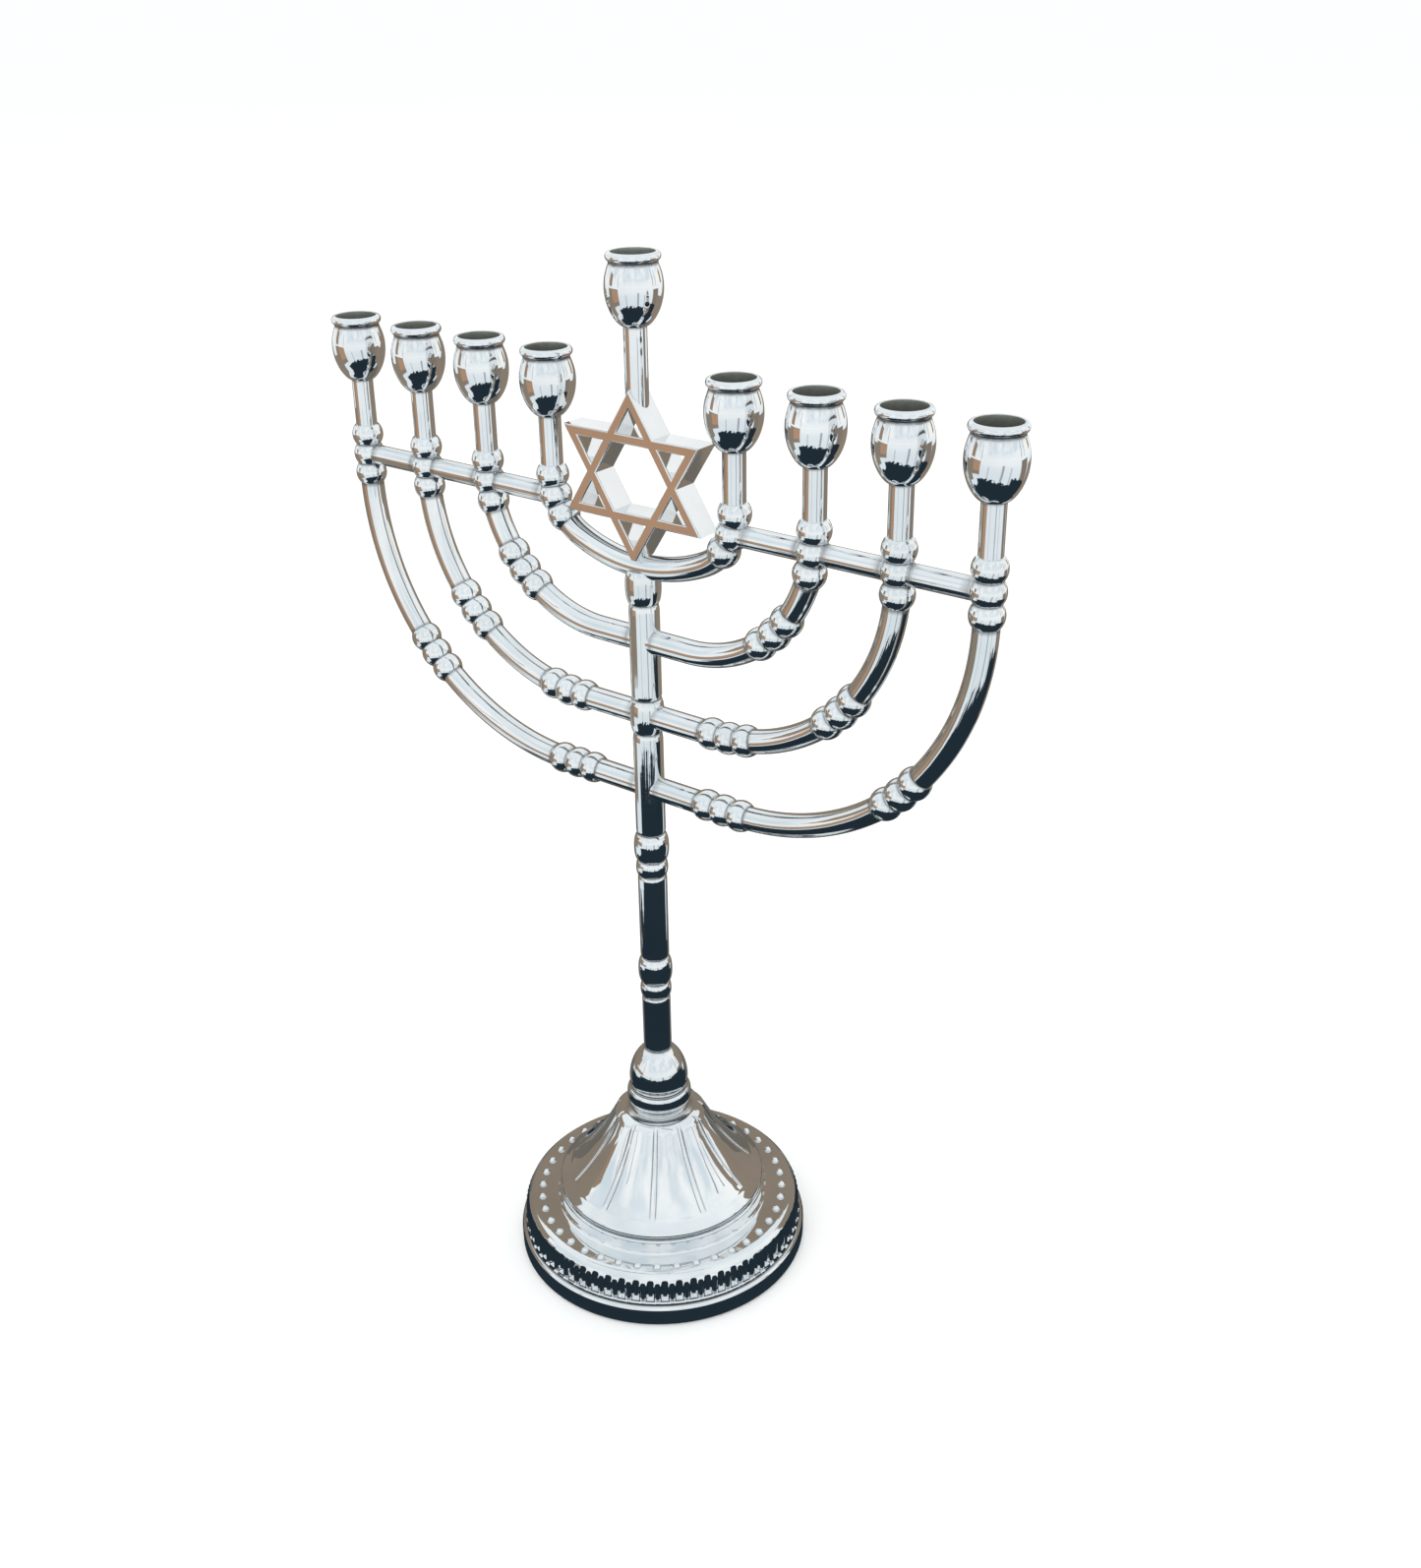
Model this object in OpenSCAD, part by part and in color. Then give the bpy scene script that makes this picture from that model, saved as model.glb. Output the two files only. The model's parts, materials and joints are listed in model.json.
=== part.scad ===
// Nine-branched menorah: eight side cups in one row, and a higher middle cup over a six-pointed star.
// The origin is the centre of the foot on the table. X runs along the row of cups, -Y is the front
// and Z is up. Every arm, bar and riser lies in the plane y = 0.

/* [Overall] */
// Height of the middle cup's rim above the table
total_h = 301.5; // [299:0.5:305]
// Height of the eight side rims above the table
side_rim_z = 275; // [274:0.5:276]
// Distance from the stem to the innermost cups
inner_x = 30; // [29.5:0.5:31]
// Spacing between neighbouring cups on one side
cup_pitch = 23.75; // [23.5:0.25:24.5]

/* [Cups] */
// Radius of the candle well
well_r = 5.6; // [5.2:0.1:5.7]
// Depth of the candle well
well_depth = 12; // [10:0.5:12]
// Height of a cup
cup_h = 17.8; // [17.6:0.1:18.2]
// Largest radius of a cup
cup_r = 7.4; // [7.2:0.1:7.8]
// Outer radius of the rolled rim
rim_r = 6.9; // [6.8:0.1:7.1]

/* [Tubes] */
// Radius of the round risers under the cups
riser_r = 3; // [2.8:0.1:3.1]
// Radius of the arms
arm_r = 3.3; // [3.1:0.1:3.4]
// Radius of the crossbars
bar_r = 2.8; // [2.6:0.1:3]
// Radius of the straight stem pieces
stem_r = 4.2; // [4.1:0.1:4.3]
// Largest radius of the small beads on the arms and knots
bead_r = 4.4; // [4.3:0.1:4.5]
// Length of one small bead, and the spacing between beads
bead_pitch = 5.6; // [5.5:0.1:5.7]

/* [Arms] */
// Height of the crossbars
bar_z = 235.7; // [235.1:0.2:236.1]
// Height at which the short arms leave the stem
short_arm_z = 200.8; // [200:0.1:201.5]
// Bend radius of the short arms
short_bend_r = 38.9; // [38.5:0.1:39.5]
// Height at which the middle arms leave the stem
middle_arm_z = 179; // [178.5:0.1:179.5]
// Bend radius of the middle arms
middle_bend_r = 54; // [53.5:0.1:54.5]
// Height at which the outer arms leave the stem
outer_arm_z = 157.1; // [156.5:0.1:158]
// Bend radius of the outer arms
outer_bend_r = 71.2; // [70.5:0.1:71.5]
// Height of the lowest point of the inner arm's centre line
bow_z = 221.5; // [221.3:0.1:221.7]
// Bend radius of the inner arm over the stem
bow_r = 48.6; // [48:0.1:50]
// Bend radius of the inner arm's two ends
bow_end_r = 16.2; // [16:0.1:16.4]

/* [Star] */
// Half the height of the star from its centre to a tip
star_rz = 22.9; // [22.8:0.1:23]
// The same measure across, which makes the star a little wider than it is high
star_rx = 25.4; // [25:0.1:25.8]
// Height of the star's centre
star_z = 245.5; // [245.4:0.1:245.6]
// Width of the star's bands
band_w = 2.5; // [2.3:0.1:2.9]
// Thickness of the star from front to back
star_t = 7.6; // [7:0.1:7.8]

/* [Foot] */
// Radius of the foot
foot_r = 44.5; // [44.25:0.25:45.5]
// Number of petals on the dome
petals = 11; // [8:1:16]
// Number of small domed beads on the foot
foot_beads = 40; // [36:1:42]
// Number of short flutes round the foot's wall
flutes = 62; // [56:1:64]

/* [Hidden] */
$fn = 48;

// Running fits: radial clearance of a shaft, and the gap between faces that turn or lift
running = 0.08;
face_gap = 0.05;

// Heights of the stacked stem pieces, from the foot up
annulus_z = 16.5;
step_z = 21;
neck_z = 47.7;
collar_z = 50.7;
collar_top_z = 57;
ball_top_z = 69.4;
lower_collar_z = 88.1;
bead_collar_h = 13.4;
upper_collar_z = 129.1;
column_z = upper_collar_z + bead_collar_h;
knop_h = 10;
middle_knop_z = 173.9;
top_knop_z = 211.3;
top_knop_h = 9.6;

// Clamp under the foot
rod_r = 2.5;
rod_bottom_z = 2.5;
rod_top_z = 151.5;
rod_bore_r = rod_r + running;
hub_z = 9;
hub_r = 9;
washer_t = 1;
nut_h = 4;
nut_flats = 8;

// How far neighbouring beads run into each other, and an arm's end into its knot
bead_lap = 0.6;
arm_seat = 1.3;

// Spigots and studs
spigot_r = 2;
spigot_l = 3;
stud_r = 1.95;
stud_l = 3.8;
socket_l = 4.2;

SIDES = ["left", "right"];
COLUMNS = [1 : 4];

// ---- Where things are: column i counts outwards from 1 at the stem, s is "left" or "right" ----

function side_x(s) = s == "left" ? -1 : 1;
function column_x(i) = inner_x + (i - 1) * cup_pitch;
function bend_r(i) = [bow_end_r, short_bend_r, middle_bend_r, outer_bend_r][i - 1];
function arm_z(i) = [bow_z, short_arm_z, middle_arm_z, outer_arm_z][i - 1];
function bend_x(i) = column_x(i) - bend_r(i);

// The inner arm is a flat bow. The tighter bends at its ends are part of the knots, and tangent to it.
bow_turn = asin(bend_x(1) / (bow_r - bow_end_r));
bow_end_z = bow_z + bow_r - (bow_r - bow_end_r) * cos(bow_turn);
function bend_z(i) = i == 1 ? bow_end_z : arm_z(i) + bend_r(i);

// Turn along the bend of arm i at a distance s along it below the crossbar. A turn under 0 is still on
// the upright stretch above the bend, where tilt is 0.
function bar_turn(i) = asin(max(0, bend_z(i) - bar_z) / bend_r(i));
function turn_at(i, s) = bar_turn(i) + (s - max(0, bar_z - bend_z(i))) / bend_r(i) * 180 / PI;
function tilt_at(i, s) = max(0, turn_at(i, s));
function rise_at(i, s) = -min(0, turn_at(i, s)) * PI / 180 * bend_r(i);
function path_x(i, s) = bend_x(i) + bend_r(i) * cos(tilt_at(i, s));
function path_z(i, s) = bend_z(i) - bend_r(i) * sin(tilt_at(i, s)) + rise_at(i, s);

// Lower end of a knot's beads and upper end of an arm, as distances along the path below the crossbar.
// An arm's end sits in the lowest bead, but the inner arm ends at the foot of its knots' bends.
knot_low = 1.5 * bead_pitch + bead_lap / 2;
function arm_end(i) = i == 1
    ? (90 - bow_turn - bar_turn(1)) * PI / 180 * bow_end_r
    : max(knot_low - arm_seat, bar_z - bend_z(i));
knot_top_z = bar_z + knot_low;
side_seat_z = side_rim_z - cup_h;
middle_seat_z = total_h - cup_h;

// The star's lower tip is cut off level here, just below the top of the inner arm
star_foot_z = bow_z + arm_r - 0.8;

// Puts children on the path of arm i, their Z axis along it and pointing up
module on_path(i, s) {
    translate([path_x(i, s), 0, path_z(i, s)]) rotate([0, tilt_at(i, s), 0]) children();
}

// Mirrors children to the left side when s is "left"
module on_side(s) {
    mirror([s == "left" ? 1 : 0, 0, 0]) children();
}

// ---- Shared shapes ----

function arc(cx, cy, r, from, to, steps) =
    [for (k = [0 : steps]) let (a = from + (to - from) * k / steps) [cx + r * cos(a), cy + r * sin(a)]];

// Barrel-shaped bead centred on the origin: its side is one arc from the waist out to r
module bead(r, h, waist) {
    side_r = (pow(h / 2, 2) + pow(r - waist, 2)) / (2 * (r - waist));
    rotate_extrude() intersection() {
        translate([r - side_r, 0]) circle(side_r, $fn = 96);
        translate([0, -h / 2]) square([r + 1, h]);
    }
}

// Small bead, a little longer than the spacing so that neighbours run into each other
module small_bead() {
    bead(bead_r, bead_pitch + bead_lap, bead_r - 0.9);
}

// Three small beads in a row along arm i, the middle one at distance s
module bead_group(i, s) {
    for (k = [-1 : 1]) on_path(i, s + k * bead_pitch) small_bead();
}

// Round bar along part of a bend: turn 0 is upright and turn 90 is level
module bend(x, z, r, from, to, tube_r) {
    translate([x, 0, z]) rotate([90, 0, 0])
        rotate_extrude(angle = to - from, start = -to, $fn = 128) translate([r, 0]) circle(tube_r);
}

module along_x(x_from, x_to, r) {
    translate([x_from, 0, 0]) rotate([0, 90, 0]) cylinder(h = x_to - x_from, r = r);
}

// ---- Foot ----

// Outline of the foot from the table up to the step, as [radius, height]
function foot_outline() = let (wall_r = foot_r - 2) concat(
    [[foot_r - 1, 0]],
    arc(foot_r - 1.2, 1.2, 1.2, -50, 0, 3),
    arc(foot_r - 1.5, 5.2, 1.5, 0, 80, 6),
    arc(wall_r + 1.1, 8.1, 1.2, 250, 180, 4),
    arc(wall_r - 1.6, annulus_z - 1.6, 1.6, 5, 90, 6),
    arc(33.1, annulus_z + 0.9, 0.9, 270, 185, 3),
    arc(31.5, step_z - 0.6, 0.6, 10, 90, 3),
    [[0, step_z]]
);

module base_plate() {
    shell = 2.4;
    color("silver") difference() {
        union() {
            rotate_extrude($fn = 128) polygon(concat(foot_outline(), [[0, 0]]));
            for (k = [0 : foot_beads - 1])
                rotate([0, 0, k * 360 / foot_beads]) translate([37.6, 0, annulus_z - 0.2]) sphere(r = 1.1, $fn = 24);
        }
        // hollow under the plate, round the hub
        difference() {
            union() {
                translate([0, 0, -1]) cylinder(h = annulus_z - shell + 1, r = foot_r - 5, $fn = 128);
                translate([0, 0, -1]) cylinder(h = step_z - shell + 1, r = 29.5, $fn = 128);
            }
            translate([0, 0, hub_z]) cylinder(h = step_z, r = hub_r);
        }
        translate([0, 0, -1]) cylinder(h = step_z + 2, r = rod_bore_r);
        // flutes that deepen upwards and leave upright ribs between them
        for (k = [0 : flutes - 1])
            rotate([0, 0, (k + 0.5) * 360 / flutes]) translate([foot_r - 0.1, 0, 7.6]) rotate([0, -16, 0])
                cylinder(h = 7.6, r = 1.25, $fn = 24);
    }
}

// Outside of the dome as [radius, height]: a round shoulder, then one hollow sweep out to the hem
shoulder = 22.73;
shoulder_r = 3.2;
shoulder_x = 10.6;
sweep_r = 55;
hem_turn = 233.29;
sweep_x = shoulder_x + (shoulder_r + sweep_r) * cos(shoulder);
sweep_z = neck_z - shoulder_r + (shoulder_r + sweep_r) * sin(shoulder);
function dome_outline() = concat(
    arc(shoulder_x, neck_z - shoulder_r, shoulder_r, 90, shoulder, 7),
    arc(sweep_x, sweep_z, sweep_r, 182 + shoulder, hem_turn, 14)
);

// Creases between the petals: shallow round grooves down the sweep that stop above the plain hem
module petal_creases() {
    crease_r = 0.5;
    from = 186 + shoulder;
    for (k = [0 : petals - 1]) rotate([0, 0, k * 360 / petals - 90])
        translate([sweep_x, 0, sweep_z]) rotate([90, 0, 0])
            rotate_extrude(angle = hem_turn - 5 - from, start = from, $fn = 128)
                translate([sweep_r, 0]) circle(crease_r, $fn = 24);
}

module dome() {
    neck_r = 8.6;
    shell = 1.6;
    outside = dome_outline();
    hem = outside[len(outside) - 1];
    inside = [for (k = [len(outside) - 1 : -1 : 5]) outside[k] - [shell, 0.7 * shell]];
    color("silver") difference() {
        rotate_extrude($fn = 128) polygon(concat(
            [[0, collar_z], [neck_r, collar_z], [neck_r, neck_z]],
            outside,
            [[hem[0], hem[1] - 0.8], [hem[0] - 0.5, hem[1] - 1.2], [hem[0] - 1.6, step_z]],
            [[hem[0] - 2.8, step_z]],
            inside,
            [[0, neck_z - 4]]
        ));
        translate([0, 0, neck_z - 5]) cylinder(h = 10, r = rod_bore_r);
        petal_creases();
    }
}

module collar_ring() {
    wide_h = 4.8;
    thin_h = collar_top_z - collar_z - wide_h;
    color("gainsboro") translate([0, 0, collar_z]) difference() {
        union() {
            translate([0, 0, wide_h / 2]) bead(9.7, wide_h, 9.1);
            translate([0, 0, wide_h + thin_h / 2]) bead(8.8, thin_h, 8.5);
        }
        translate([0, 0, -1]) cylinder(h = 10, r = rod_bore_r);
    }
}

// ---- Clamp: the rod that holds the stem's pieces together, and the nut under the foot ----

module tie_rod() {
    color("gray") translate([0, 0, rod_bottom_z]) cylinder(h = rod_top_z - rod_bottom_z, r = rod_r);
}

module clamp_washer() {
    color("gray") translate([0, 0, hub_z - face_gap - washer_t]) difference() {
        cylinder(h = washer_t, r = 7.5);
        translate([0, 0, -1]) cylinder(h = washer_t + 2, r = rod_r);
    }
}

module clamp_nut() {
    color("gray") translate([0, 0, hub_z - face_gap - washer_t - nut_h]) difference() {
        cylinder(h = nut_h, r = nut_flats / 2 / cos(30), $fn = 6);
        translate([0, 0, -1]) cylinder(h = nut_h + 2, r = rod_r);
    }
}

// ---- Stem ----

// The rod's hole through a stem piece of the candelabrum
module rod_hole(z) {
    translate([0, 0, z]) cylinder(h = rod_top_z - z, r = rod_r);
}

module ball_knop() {
    widest_z = 1.6;
    ball_h = ball_top_z - collar_top_z - face_gap;
    dome_h = 12.1;
    ball_r = 8.85;
    color("silver") translate([0, 0, collar_top_z + face_gap]) difference() {
        rotate_extrude($fn = 96) polygon(concat(
            [[0, 0], [8.2, 0], [8.7, 0.6]],
            [for (k = [0 : 14]) let (h = widest_z + (ball_h - widest_z) * sin(90 * k / 14))
                [ball_r * sqrt(1 - pow((h - widest_z) / dome_h, 2)), h]],
            [[0, ball_h]]
        ));
        rod_hole(-1);
    }
}

module stem_piece(z_from, z_to) {
    color("silver") difference() {
        translate([0, 0, z_from]) cylinder(h = z_to - z_from, r = stem_r);
        rod_hole(z_from - 1);
    }
}

// A large bead over a narrow ring, standing on height z
module bead_collar(z) {
    ring_h = 4.8;
    bead_h = bead_collar_h - ring_h;
    color("silver") difference() {
        union() {
            translate([0, 0, z + ring_h / 2]) bead(4.6, ring_h, 3.9);
            translate([0, 0, z + ring_h + bead_h / 2]) bead(5, bead_h, 4);
        }
        rod_hole(z - 1);
    }
}

// Column with a cross hole for the spigots of one pair of arms
module drilled_column(z_from, z_to, hole_z) {
    color("silver") difference() {
        translate([0, 0, z_from]) cylinder(h = z_to - z_from, r = stem_r);
        translate([0, 0, hole_z]) along_x(-stem_r - 1, stem_r + 1, spigot_r);
        rod_hole(column_z - 1);
    }
}

module middle_knop_body() {
    translate([0, 0, middle_knop_z + knop_h / 2]) bead(4.8, knop_h, stem_r);
}

module middle_knop() {
    color("silver") difference() {
        middle_knop_body();
        translate([0, 0, middle_arm_z]) along_x(-6, 6, spigot_r);
    }
}

module top_knop() {
    color("silver") {
        difference() {
            translate([0, 0, top_knop_z + top_knop_h / 2]) bead(4.85, top_knop_h, stem_r);
            bow();
        }
        // pin up into the inner arm, as far as its centre line
        translate([0, 0, top_knop_z + 3]) cylinder(h = bow_z - top_knop_z - 3, r = spigot_r);
    }
}

// ---- Arms ----

module bow() {
    bend(0, bow_z + bow_r, bow_r, 90 - bow_turn, 90 + bow_turn, arm_r);
}

module inner_arm() {
    color("silver") {
        difference() {
            bow();
            translate([0, 0, bow_z - arm_r - 1]) cylinder(h = 2 * arm_r + 4, r = spigot_r);
        }
        for (s = SIDES) on_side(s) arm_spigot(1);
    }
}

// Spigot on the top end of arm i, which the knot takes
module arm_spigot(i) {
    on_path(i, arm_end(i)) translate([0, 0, -1]) cylinder(h = spigot_l + 1, r = spigot_r);
}

module arm_bend(i) {
    bend(bend_x(i), bend_z(i), bend_r(i), tilt_at(i, arm_end(i)), 90, arm_r);
}

// Arm i from the stem to its knot, with the bead groups that it carries at the given distances
module quarter_arm(i, groups) {
    difference() {
        union() {
            translate([0, 0, arm_z(i)]) along_x(0, bend_x(i), arm_r);
            arm_bend(i);
            for (s = groups) bead_group(i, s);
            level_beads(i);
        }
        cylinder(h = total_h, r = stem_r);
        middle_knop_body();
    }
    arm_spigot(i);
    translate([0, 0, arm_z(i)]) along_x(0, stem_r + 1, spigot_r);
}

// Middle and outer arms have a second group of beads on their level stretch
module level_beads(i) {
    if (i > 2) for (k = [-1 : 1])
        translate([level_group_x(i) + k * bead_pitch, 0, arm_z(i)]) rotate([0, 90, 0]) small_bead();
}
function level_group_x(i) = i == 3 ? 27.8 : 25.8;

// Distance from the crossbar down to the bead group on the bend of each arm
function bend_group(i) = [0, 26.7, 43.9, 63][i - 1];

module arm(i, s) {
    color("silver") on_side(s) quarter_arm(i, [bend_group(i)]);
}

// ---- Crossbars, knots and risers ----

module bar_core() {
    translate([0, 0, bar_z]) along_x(column_x(1) + 1, column_x(4) - 1, bar_r);
}

module crossbar(s) {
    color("silver") on_side(s) bar_core();
}

module riser_spigot(x) {
    translate([x, 0, knot_top_z - spigot_l]) cylinder(h = spigot_l + 1, r = spigot_r);
}

// Where the core inside a bent knot ends: at the inner arm, or inside the lowest bead
function core_turn(i) = i == 1 ? 90 - bow_turn : tilt_at(i, bead_pitch);

// Three-bead knot of column i: drilled for the crossbar, the riser above and the arm below
module knot(s, i) {
    color("silver") on_side(s) difference() {
        union() {
            translate([column_x(i), 0, bar_z + bead_pitch]) small_bead();
            for (k = [0, 1]) on_path(i, k * bead_pitch) small_bead();
            // core where the beads follow a bend
            if (i < 3) bend(bend_x(i), bend_z(i), bend_r(i), 0, core_turn(i), arm_r);
        }
        bar_core();
        riser_spigot(column_x(i));
        if (i > 1) arm_bend(i);
        arm_spigot(i);
    }
}

// Post from z_from up to a cup's seat, with the threaded stud that holds the cup
module post(z_from, seat_z) {
    translate([0, 0, z_from]) cylinder(h = seat_z - face_gap - z_from, r = riser_r);
    translate([0, 0, seat_z - 1]) cylinder(h = stud_l + 1, r = stud_r);
}

module riser(s, i) {
    color("silver") on_side(s) {
        translate([column_x(i), 0, 0]) post(knot_top_z, side_seat_z);
        riser_spigot(column_x(i));
    }
}

module shamash_riser() {
    color("silver") difference() {
        post(star_z + star_rz - star_grip, middle_seat_z);
        star_blank();
    }
}

// ---- Star ----

// How far down the star's upper tip the middle riser reaches, to where the tip is as wide as the riser
star_grip = riser_r * 1.5 * star_rz / (star_rx * cos(30));

// One triangle of the star, point up, inset by w from its edges
module triangle(w) {
    half = star_rx * cos(30);
    height = 1.5 * star_rz;
    in_r = half * height / (half + norm([half, height]));
    shrink = 1 - w / in_r;
    centre_y = in_r - star_rz / 2;
    polygon([
        [0, centre_y + (star_rz - centre_y) * shrink],
        [half * shrink, centre_y - in_r * shrink],
        [-half * shrink, centre_y - in_r * shrink]
    ]);
}

module star_plate() {
    translate([0, star_t / 2, star_z]) rotate([90, 0, 0]) linear_extrude(star_t) children();
}

// The star's upper tip as a solid wedge
module star_blank() {
    star_plate() triangle(0);
}

module star() {
    color("silver") {
        difference() {
            star_plate() for (flip = [0, 1]) mirror([0, flip]) difference() {
                triangle(0);
                triangle(band_w);
            }
            bow();
            translate([-5, -star_t, star_foot_z - 10]) cube([10, 2 * star_t, 10]);
        }
        // pin down into the inner arm, as far as its centre line
        translate([0, 0, bow_z]) cylinder(h = arm_r + 2, r = spigot_r);
    }
}

// ---- Cups ----

// Outside of a cup below its rim, as [radius, height above the seat]
function cup_side() =
    let (seat_r = 3.3, widest = cup_h - 8.5, neck = cup_h - 2.8, neck_r = rim_r - 0.6) concat(
        [for (k = [0 : 12]) let (u = cos(90 * k / 12))
            [seat_r + (cup_r - seat_r) * pow(1 - u * u, 0.75), widest * (1 - u)]],
        [for (k = [1 : 6]) let (v = k / 6)
            [cup_r - (cup_r - neck_r) * (1 - cos(90 * v)), widest + (neck - widest) * v]]
    );

module cup(x, seat_z) {
    lip_r = 1.15;
    color("silver") translate([x, 0, seat_z]) difference() {
        rotate_extrude($fn = 64) union() {
            polygon(concat(cup_side(), [[rim_r - 0.6, cup_h - lip_r], [0, cup_h - lip_r], [0, 0]]));
            translate([rim_r - lip_r, cup_h - lip_r]) circle(lip_r, $fn = 32);
            translate([0, cup_h - lip_r - 1]) square([rim_r - lip_r, lip_r + 1]);
        }
        translate([0, 0, cup_h - well_depth]) cylinder(h = well_depth + 1, r = well_r);
        translate([0, 0, -1]) cylinder(h = socket_l + 1, r = stud_r + running);
    }
}

// ---- Nodes ----

base_plate();
dome();
collar_ring();
tie_rod();
clamp_washer();
clamp_nut();
ball_knop();
stem_piece(ball_top_z, lower_collar_z);  // lower_stem
bead_collar(lower_collar_z);  // lower_bead_collar
stem_piece(lower_collar_z + bead_collar_h, upper_collar_z);  // middle_stem
bead_collar(upper_collar_z);  // upper_bead_collar
drilled_column(column_z, middle_knop_z, outer_arm_z);  // branch_column
middle_knop();
drilled_column(middle_knop_z + knop_h, top_knop_z, short_arm_z);  // upper_column
top_knop();
inner_arm();
star();
shamash_riser();
cup(0, middle_seat_z);  // shamash_cup
for (s = SIDES) {
    crossbar(s);
    arm(2, s);
    arm(3, s);
    arm(4, s);
    for (i = COLUMNS) {
        knot(s, i);
        riser(s, i);
        cup(side_x(s) * column_x(i), side_seat_z);
    }
}
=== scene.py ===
"""Looks of the nine-branched menorah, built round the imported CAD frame.

Lengths below are in millimetres, as in the CAD source, and turn into metres when a mesh is made.
"""
import json
import math

import bmesh
import bpy
from mathutils import Matrix, Vector

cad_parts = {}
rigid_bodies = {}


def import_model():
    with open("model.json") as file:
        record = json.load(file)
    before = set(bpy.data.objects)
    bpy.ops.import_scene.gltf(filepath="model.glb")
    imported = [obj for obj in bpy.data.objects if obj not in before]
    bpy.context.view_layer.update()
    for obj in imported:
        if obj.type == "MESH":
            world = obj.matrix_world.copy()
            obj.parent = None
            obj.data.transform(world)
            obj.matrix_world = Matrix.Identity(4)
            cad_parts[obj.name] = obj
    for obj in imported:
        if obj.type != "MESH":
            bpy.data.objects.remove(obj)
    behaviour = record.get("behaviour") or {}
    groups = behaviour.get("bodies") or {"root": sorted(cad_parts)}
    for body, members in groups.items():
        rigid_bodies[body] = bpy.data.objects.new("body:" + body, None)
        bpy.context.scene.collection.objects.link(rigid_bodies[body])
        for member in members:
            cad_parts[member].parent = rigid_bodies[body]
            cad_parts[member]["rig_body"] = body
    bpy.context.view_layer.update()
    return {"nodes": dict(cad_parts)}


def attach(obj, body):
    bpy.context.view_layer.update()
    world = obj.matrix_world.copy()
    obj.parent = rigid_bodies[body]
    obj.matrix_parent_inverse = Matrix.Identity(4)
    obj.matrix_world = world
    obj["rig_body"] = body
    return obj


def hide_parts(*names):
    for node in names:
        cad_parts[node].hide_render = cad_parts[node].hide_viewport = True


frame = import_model()
MM = 0.001

# ---- Sizes, in millimetres ----

TOTAL_H, SIDE_RIM_Z = 301.5, 275.0
INNER_X, CUP_PITCH = 30.0, 23.75
FACE_GAP = 0.05

# Foot, from the table up
HUB_R, HUB_Z = 9.0, 9.0
HOLLOW_R, HOLLOW_Z, STEP_HOLLOW_R, STEP_HOLLOW_Z = 39.5, 14.1, 29.5, 18.6
LIP_FLAT_R = 43.2
RING_Z, BEAD_RING_R = 16.5, 37.6
STEP_Z, NECK_Z, COLLAR_Z, COLLAR_TOP_Z, BALL_TOP_Z = 21.0, 47.7, 50.7, 57.0, 69.4
FOOT_BEADS, FLUTES, PETALS = 40, 62, 11

# Stem
STEM_R, WAIST_R = 4.2, 3.75
LOWER_COLLAR_Z, UPPER_COLLAR_Z, COLLAR_H, COLLAR_RING_H = 88.1, 129.1, 13.4, 4.8
MIDDLE_KNOP_Z, KNOP_H, TOP_KNOP_Z, TOP_KNOP_H = 173.9, 10.0, 211.3, 9.6

# Arms by column, counted outwards from 1 at the stem: height of the level part, radius of the bend,
# how far along the arm below the crossbar the beads on the bend are, and how far from the stem
# those on the level part are
ARM_R, RISER_R, BAR_R, BAR_Z = 3.3, 3.0, 2.8, 235.7
ARM_Z = {1: 221.5, 2: 200.8, 3: 179.0, 4: 157.1}
BEND_R = {1: 16.2, 2: 38.9, 3: 54.0, 4: 71.2}
BEND_GROUP = {2: 26.7, 3: 43.9, 4: 63.0}
LEVEL_GROUP_X = {3: 27.8, 4: 25.8}
BOW_R = 48.6
BEAD_R, BEAD_PITCH, KNOT_REACH = 4.4, 5.6, 7.6

# Star
STAR_RZ, STAR_RX, STAR_Z, BAND_W, STAR_T = 22.9, 25.4, 245.5, 2.5, 7.6
STAR_FOOT_Z = ARM_Z[1] + ARM_R - 0.8
STAR_HALF_W = STAR_RX * math.cos(math.radians(30))

# Cups
WELL_R, WELL_DEPTH, CUP_H, CUP_R, RIM_R, LIP_R = 5.6, 12.0, 17.8, 7.4, 6.9, 1.15
STUD_R, STUD_L, SOCKET_R, SOCKET_L = 1.95, 3.8, 2.03, 4.2

SIDES = {"left": -1, "right": 1}
ARM_NAMES = {2: "short", 3: "middle", 4: "outer"}


# ---- Camera ----

def add_camera():
    """The camera at the photograph's place and angle; place in metres, angles in radians."""
    place, yaw, pitch, roll = (0.27317, -0.33058, 0.37228), 0.651, 0.465, -0.014
    right = Vector((math.cos(yaw), math.sin(yaw), 0))
    level = math.cos(pitch)
    ahead = Vector((-math.sin(yaw) * level, math.cos(yaw) * level, -math.sin(pitch)))
    up = right.cross(ahead)
    side = right * math.cos(roll) + up * math.sin(roll)
    top = up * math.cos(roll) - right * math.sin(roll)
    data = bpy.data.cameras.new("camera")
    data.sensor_width = 36
    data.lens = 39.49
    data.clip_start, data.clip_end = 0.01, 200
    camera = bpy.data.objects.new("camera", data)
    turn = Matrix((side, top, -ahead)).transposed().to_4x4()
    camera.matrix_world = Matrix.Translation(place) @ turn
    bpy.context.scene.collection.objects.link(camera)
    bpy.context.scene.camera = camera


# ---- Node helpers ----

def new_nodes(owner):
    """An empty node tree in a material or a world."""
    owner.use_nodes = True
    tree = owner.node_tree
    tree.nodes.clear()
    return tree


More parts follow.
